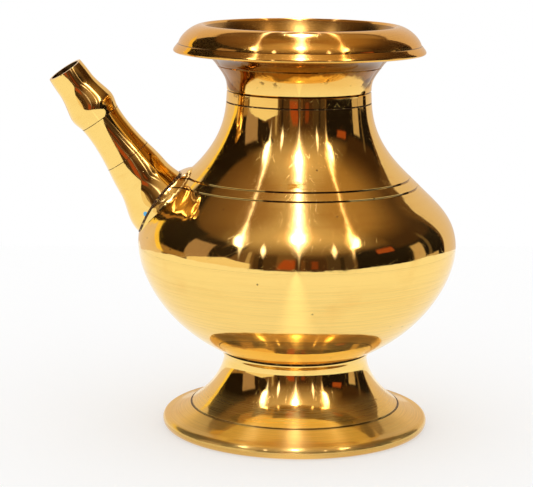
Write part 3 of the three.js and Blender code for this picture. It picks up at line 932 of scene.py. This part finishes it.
def brass_finish(name, origin, rotation=(0, 0, 0), on_pot_axis=False):
    """Polished brass with a share of it drawn out by brushing, for the pot or for its spout."""
    material, graph = new_material(name)
    surface = TurnedSurface(graph, origin, rotation)
    wear = Wear(graph, surface)
    color = brass_color(graph, wear)
    height = wear.fine * FINE_RINGS + wear.broad * BROAD_RINGS + wear.hand * DENTS
    height = height - wear.scuff * SCUFFS - wear.dots * PITS
    painted = 0.0
    brushed = 0.0
    if on_pot_axis:
        color = stain_and_shade_pot(graph, surface, color)
        filed = 1 - graph.step(graph.distance(surface.place, SPOUT_ROOT), FILED_FROM, FILED_TO)
        height = height + graph.noise(surface.point, 0.15, 2.0, 0.45) * filed * FILED_DEPTH
        brushed = brushed_share(graph, surface, wear)
    else:
        ragged = graph.distance(surface.place, FLECK_PLACE) + (wear.hand - 0.5) * 1.5
        painted = 1 - graph.step(ragged, FLECK_RADIUS, FLECK_RADIUS + 0.2)
        color = graph.mix(painted, color, SKY_BLUE)
    # Inner faces are rougher, and their colour is painted nearly black: painted shade inside the pot, its
    # throat and the spout's bore
    inside = graph.add("ShaderNodeAttribute", {"attribute_name": "inside"}, None, 2)
    color = graph.mix(inside * (0.75 + wear.cloud * 0.4), color, INNER_BRASS_AND_SHADE)
    rough = 0.04 + wear.tarnish * 0.04 + graph.step(wear.broad, 0.45, 0.8) * 0.05
    rough = rough + wear.dots * 0.2 + inside * 0.3
    bump = graph.add("ShaderNodeBump", None, {"Strength": 1.0, "Distance": MM, "Height": height})
    polished = graph.add("ShaderNodeBsdfPrincipled", None, {
        "Base Color": color, "Metallic": 1.0 - painted, "Roughness": rough, "Normal": bump})
    drawn_out = graph.add("ShaderNodeBsdfPrincipled", None, {
        "Base Color": color, "Metallic": 1.0, "Roughness": BRUSHED_ROUGHNESS, "Anisotropic": 1.0,
        "Anisotropic Rotation": 0.25, "Normal": bump})
    share = 0.004 + graph.step(wear.broad, 0.35, 0.85) * 0.012 + brushed + wear.scuff * 0.08
    show(graph, graph.add("ShaderNodeMixShader", None, {0: share, 1: polished, 2: drawn_out}))
    return material


def braze_finish(name, origin, rotation=(0, 0, 0)):
    material, graph = new_material(name)
    surface = TurnedSurface(graph, origin, rotation)
    grit = graph.noise(surface.point, 1.1, 4.0, 0.65)
    bright = graph.step(graph.noise(surface.point, 0.55, 3.0, 0.6), 0.55, 0.68)
    color = graph.mix(grit, BRAZE_DARK, BRAZE_PALE)
    color = graph.mix(bright * 0.8, color, BRASS)
    height = grit * 0.25 - bright * 0.1
    bump = graph.add("ShaderNodeBump", None, {"Strength": 1.0, "Distance": MM, "Height": height})
    show(graph, graph.add("ShaderNodeBsdfPrincipled", None, {
        "Base Color": color, "Metallic": 0.9, "Roughness": 0.5 - bright * 0.3, "Normal": bump}))
    return material


def mark_inside(piece, below=1000.0, share=1.0):
    """Marks the faces that look toward the axis, below a height, as inner faces, which get painted shade."""
    layer = piece.data.attributes.new("inside", "FLOAT", "FACE")
    for face in piece.data.polygons:
        out = face.center.x - AXIS_X, face.center.y
        inward = face.normal.x * out[0] + face.normal.y * out[1] < 0
        layer.data[face.index].value = share if inward and face.center.z < below * MM else 0.0


def mark_bore(piece):
    """Marks the faces that look toward the axis of the spout as inner faces, which get painted shade."""
    layer = piece.data.attributes.new("inside", "FLOAT", "FACE")
    for face in piece.data.polygons:
        offset = face.center - SPOUT_ROOT
        out = offset - SPOUT_AXIS * offset.dot(SPOUT_AXIS)
        layer.data[face.index].value = 1.0 if face.normal.dot(out.normalized()) < -0.5 else 0.0


# Surroundings

FLOOR_SIZE = (5, 2.05)
FLOOR_MIDDLE = (0, -0.575)

# How much of the floor shows plain white, so that it stays white and keeps the pot's shadow
WHITE_TO_CAMERA = 0.4
WHITE_TO_METAL = 0.8

# Half width of the pool of light painted on the floor in front of the pot, seen only in the metal, at its
# core and at its edge
POOL_CORE = 2 * MM
POOL_EDGE = 22 * MM
PAINTED_POOL_COLOR = (1.3, 1.3, 1.3)


def floor_finish():
    material, graph = new_material("pale_floor")
    camera_ray, glossy_ray = graph.ray_kinds()
    place = graph.add("ShaderNodeTexCoord", None, None, 3)
    across = graph.dot(place, VIEW_RIGHT) - AXIS_X * VIEW_RIGHT[0]
    # A painted pool of light, brighter than white, that only the metal's reflections see
    pool = 1 - graph.step(abs(across), POOL_CORE, POOL_EDGE)
    glow = graph.mix(pool * glossy_ray, (1.0, 1.0, 1.0), PAINTED_POOL_COLOR)
    pale = graph.add("ShaderNodeBsdfDiffuse", None, {"Color": (0.99, 0.99, 0.99)})
    white = graph.add("ShaderNodeEmission", None, {"Color": glow, "Strength": 1.0})
    lifted = camera_ray * WHITE_TO_CAMERA + glossy_ray * WHITE_TO_METAL
    show(graph, graph.add("ShaderNodeMixShader", None, {0: lifted, 1: pale, 2: white}))
    return material


def make_floor():
    start_fresh()
    bpy.ops.mesh.primitive_plane_add(size=1)
    floor = bpy.context.object
    floor.name = "floor"
    floor.scale = (*FLOOR_SIZE, 1)
    floor.location = (*FLOOR_MIDDLE, 0)
    rest_in_place(floor)
    floor.data.materials.append(floor_finish())


# Each card: its left and right edges in degrees at its lower edge, its lower and upper edges, how far
# it leans aside in degrees for each degree it rises, its softness, that of its top, and its colour
ROOM_CARDS = (
    ("left_wall", -140, -86, -2, 43, 0.0, 1.5, 2.0, (0.012, 0.006, 0.003)),
    ("left_wall_near", -88, -58, -2, 41, 0.0, 3.0, 5.0, (0.020, 0.010, 0.005)),
    ("right_wall", 43, 130, -9, 31, 0.0, 1.5, 6.0, (0.010, 0.006, 0.005)),
    ("right_wall_top", 80, 128, 22, 40, 0.0, 3.0, 7.0, (0.045, 0.020, 0.008)),
    ("left_board", -88, -66, 0, 31, 0.0, 1.0, 2.0, (0.37, 0.25, 0.20)),
    ("dark_frame", -64, -48, 13, 37, 0.35, 1.5, 3.0, (0.022, 0.012, 0.008)),
    ("second_stand", -36.5, -33.5, 2, 28, 0.0, 0.6, 3.0, (0.45, 0.33, 0.22)),
    ("left_curtain", -31, -14, -9, 25, 0.0, 1.0, 6.0, (0.075, 0.04, 0.022)),
    ("left_fold", -27, -24, -9, 18, 0.0, 0.6, 3.0, (0.03, 0.016, 0.01)),
    ("red_cloth", -14, -2, -1, 17, 0.25, 1.5, 4.0, (0.36, 0.075, 0.022)),
    ("centre_curtain", -1, 22, -9, 24, 0.0, 1.0, 7.0, (0.06, 0.028, 0.016)),
    ("centre_fold", 3, 6, -9, 18, 0.0, 0.5, 3.0, (0.13, 0.06, 0.03)),
    ("red_strip", 10, 15, 0, 14, 0.0, 1.0, 3.0, (0.20, 0.045, 0.016)),
    ("right_curtain", 22, 41, -9, 26, 0.0, 1.0, 6.0, (0.07, 0.042, 0.028)),
    ("right_fold", 31, 34, -9, 20, 0.0, 0.6, 3.0, (0.03, 0.018, 0.01)),
    ("orange_shade", 62, 77, 19.5, 27, 0.0, 1.0, 2.0, (0.34, 0.075, 0.022)),
    ("right_board", 92, 104.5, -5, 19, 0.0, 0.8, 1.5, (0.55, 0.42, 0.32)),
    ("far_post", 110, 113, -5, 28, 0.0, 0.6, 3.0, (0.13, 0.09, 0.06)),
    ("far_shelf", 105, 121, -7, -1, 0.0, 0.8, 0.8, (0.55, 0.42, 0.32)),
    ("left_shelf", -115, -86, -3, 5, 0.0, 1.5, 1.5, (0.34, 0.20, 0.09)),
    ("left_tent", -400, -114, -2, 26, -0.96, 1.0, 1.0, (0.80, 0.66, 0.55)),
    ("left_tent_low", -400, -112, -90, -1, 0.0, 1.0, 1.0, (0.80, 0.66, 0.55)),
    ("left_tent_high", -400, -139, 25, 42, 0.0, 1.5, 1.5, (0.80, 0.64, 0.48)),
    ("tent_shade", -400, -140, 43, 80, 0.0, 5.0, 8.0, (0.19, 0.11, 0.055)),
    ("tent_shade_right", 138, 400, 43, 80, 0.0, 5.0, 8.0, (0.40, 0.26, 0.13)),
    ("left_tent_edge", -119, -110, -2, 27, -0.96, 1.0, 1.0, (1.05, 0.78, 0.16)),
    ("right_tent", 121, 400, -90, 40, 0.12, 1.0, 1.5, (0.76, 0.62, 0.50)),
)
LIGHT_CARDS = (
    ("left_softbox", -52, -43, 35, 56, -0.75, 4.0, 9.0, (7, 7, 8)),
    ("right_softbox", 43, 52, 35, 56, 0.75, 4.0, 9.0, (7, 6.4, 6)),
)

# The main lamp is such a card too, but its edges lie to the left and right of the camera's plane
MAIN_LAMP = (-3.0, 3.8, 50, 70, 0.0, 5.0, 9.0)
MAIN_LAMP_COLOR = (34, 36, 44)

# The ceiling, from its low to its high end: in front of the pot, and at its sides and back
CEILING_NEAR = ((0.16, 0.09, 0.05), (0.58, 0.42, 0.28))
CEILING_FAR = ((0.105, 0.052, 0.02), (0.34, 0.19, 0.09))
WARM_LIGHT = (0.95, 0.58, 0.22)
PALE_GROUND = (0.9, 0.85, 0.78)
HORIZON = -9

# A pale table whose top slopes down on both sides of its highest place
TABLE_COLOR = (0.92, 0.80, 0.64)
TABLE_HIGHEST = (-53, 12)
TABLE_SLOPE = 0.34
TABLE_SIDES = (-84, -33)

# Each streak that a lamp draws along the turned walls: the side of the wall it lies on in degrees,
# its half width, the height of its lamp, how far it reaches down and up in degrees, and its colour
STREAKS = (
    ("main", 0.6, 6.0, 64, 56, 100, (1.5, 1.35, 1.6)),
    ("main_core", 0.6, 3.2, 64, 48, 80, (4.5, 4.4, 5.5)),
    ("main_thread", 0.8, 0.8, 50, 75, 60, (1.1, 1.0, 1.1)),
    ("main_glow", 0.4, 12.0, 62, 34, 30, (0.55, 0.40, 0.30)),
    ("left", -20.9, 3.8, 50, 32, 34, (1.3, 1.15, 1.3)),
    ("left_core", -20.9, 1.4, 48, 46, 40, (2.6, 2.5, 3.0)),
    ("left_lamp", -12.0, 1.3, 34, 22, 20, (3.6, 3.4, 4.2)),
    ("right_lamp", 13.6, 1.3, 34, 22, 22, (3.2, 2.8, 3.2)),
    ("right", 20.8, 3.8, 50, 32, 34, (1.6, 1.15, 0.8)),
    ("right_core", 20.8, 1.4, 48, 46, 40, (2.8, 2.3, 2.2)),
)


class Room:
    """The room as the pot sees it, in degrees: azimuth 0 is toward the camera, and + is right."""

    def __init__(self, graph):
        self.graph = graph
        way = graph.add("ShaderNodeTexCoord", None, None, 0)
        aside = graph.dot(way, VIEW_RIGHT)
        toward = graph.dot(way, VIEW_TOWARD)
        self.azimuth = graph.maths("ARCTAN2", aside, toward) * math.degrees(1)
        self.elevation = graph.maths("ARCSINE", graph.dot(way, (0, 0, 1))) * math.degrees(1)
        self.sideways = graph.maths("ARCSINE", aside) * math.degrees(1)
        halfway = toward + math.cos(CAMERA_PITCH)
        self.wall_side = graph.maths("ARCTAN2", aside, halfway) * math.degrees(1)

    def risen(self, low, high):
        return self.graph.step(self.elevation, low, high)

    def card(self, place, left, right, low, high, lean, soft, fade):
        shifted = place - (self.elevation - low) * lean
        sides = self.graph.band(shifted, left, right, soft)
        return sides * self.risen(low - soft, low + soft) * (1 - self.risen(high - fade, high + fade))

    def ceiling(self):
        graph = self.graph
        near = graph.mix(self.risen(22, 58), *CEILING_NEAR)
        far = graph.mix(self.risen(38, 82), *CEILING_FAR)
        view = graph.mix(graph.step(abs(self.azimuth), 35, 85), near, far)
        warm = graph.band(self.sideways, 14, 40, 10) * self.risen(40, 60) * 0.2
        return graph.mix(warm, view, WARM_LIGHT)

    def furnish(self, view):
        graph = self.graph
        view = graph.mix(1 - self.risen(HORIZON, HORIZON + 1), view, PALE_GROUND)
        for _, *edges, color in ROOM_CARDS:
            view = graph.mix(self.card(self.azimuth, *edges), view, color)
        middle_of_table, height = TABLE_HIGHEST
        table = self.elevation - height + abs(self.azimuth - middle_of_table) * TABLE_SLOPE
        below_top = 1 - graph.step(table, -0.8, 0.8)
        return graph.mix(below_top * graph.band(self.azimuth, *TABLE_SIDES, 1.0), view, TABLE_COLOR)

    def light(self, view):
        graph = self.graph
        for _, *edges, color in LIGHT_CARDS:
            view = graph.shine(self.card(self.azimuth, *edges) ** 3, view, color)
        view = graph.shine(self.card(self.sideways, *MAIN_LAMP) ** 4, view, MAIN_LAMP_COLOR)
        for _, side, half_width, lamp, down, up, color in STREAKS:
            length = self.risen(lamp - down, lamp) * (1 - self.risen(lamp, lamp + up))
            width = (length * 0.8 + 0.2) * half_width
            across = graph.step(1 - abs(self.wall_side - side) / width, 0, 1)
            view = graph.shine(across * length ** 1.5, view, color)
        return view


def make_world():
    world = bpy.data.worlds.new("studio")
    bpy.context.scene.world = world
    world.use_nodes = True
    world.node_tree.nodes.clear()
    graph = Graph(world.node_tree)
    room = Room(graph)
    view = room.light(room.furnish(room.ceiling()))
    _, glossy_ray = graph.ray_kinds()
    color = graph.mix(glossy_ray, (1.0, 1.0, 1.0), view)
    background = graph.add("ShaderNodeBackground", None, {"Color": color, "Strength": 1.0})
    output = graph.tree.nodes.new("ShaderNodeOutputWorld")
    graph.tree.links.new(background.socket, output.inputs["Surface"])
    bpy.context.scene.view_settings.view_transform = "Standard"


def make_camera():
    data = bpy.data.cameras.new("camera")
    data.sensor_width = 36
    data.lens = CAMERA_FOCAL_PIXELS / FRAME_WIDTH_PIXELS * data.sensor_width
    data.clip_start = 0.01
    data.clip_end = 20
    camera = bpy.data.objects.new("camera", data)
    bpy.context.scene.collection.objects.link(camera)
    forward = Vector((
        math.sin(CAMERA_YAW) * math.cos(CAMERA_PITCH),
        math.cos(CAMERA_YAW) * math.cos(CAMERA_PITCH),
        -math.sin(CAMERA_PITCH),
    ))
    right = Vector((math.cos(CAMERA_YAW), -math.sin(CAMERA_YAW), 0))
    up = right.cross(forward)
    rolled_right = right * math.cos(CAMERA_ROLL) + up * math.sin(CAMERA_ROLL)
    rolled_up = up * math.cos(CAMERA_ROLL) - right * math.sin(CAMERA_ROLL)
    turn = Matrix((rolled_right, rolled_up, -forward)).transposed().to_4x4()
    place = Matrix.Translation((0, -CAMERA_DISTANCE, CAMERA_HEIGHT)) @ turn
    around = Matrix.Translation((AXIS_X, 0, 0)) @ Matrix.Rotation(-SPOUT_TURN, 4, "Z")
    camera.matrix_world = around @ place
    bpy.context.scene.camera = camera


def make_pot():
    pot_origin = (AXIS_X, 0, 0)
    spout_turn = SPOUT_AXIS.to_track_quat("Z", "Y").to_euler()
    polished = brass_finish("polished_brass", pot_origin, on_pot_axis=True)
    neck_brass = brass_finish("neck_brass", pot_origin, on_pot_axis=True)
    spout_brass = brass_finish("spout_brass", tuple(SPOUT_ROOT), tuple(spout_turn))
    braze = braze_finish("braze", pot_origin)
    mark_inside(make_foot(polished))
    mark_inside(make_lower_bowl(polished))
    mark_inside(make_upper_bowl(polished))
    mark_inside(make_neck(neck_brass))
    mark_inside(make_mouth_rim(polished), below=CREST - 1.2, share=0.6)
    make_ring_braze("foot_braze", COLLAR_RADIUS, FOOT_SEAM, 0.5, 0.3, braze, "braze")
    make_ring_braze("girth_braze", BELLY_RADIUS, GIRTH, 0.66, 0.0, polished, "polished_brass")
    make_ring_braze("neck_braze", NECK_RADIUS, NECK_SEAM, 0.6, 0.3, braze, "braze")
    make_ring_braze("rim_braze", RIM_SEAM_RADIUS, RIM_SEAM, 0.6, 0.05, polished, "braze")
    make_spout_root(spout_brass)
    make_seat_braze(braze)
    make_spout_middle(spout_brass)
    make_spout_tip(spout_brass)
    make_section_braze("spout_lower_braze", LOWER_SEAM_RADIUS, LOWER_SEAM, braze)
    make_section_braze("spout_upper_braze", UPPER_SEAM_RADIUS, UPPER_SEAM, braze)


start_fresh()
make_camera()
make_floor()
make_world()
make_pot()
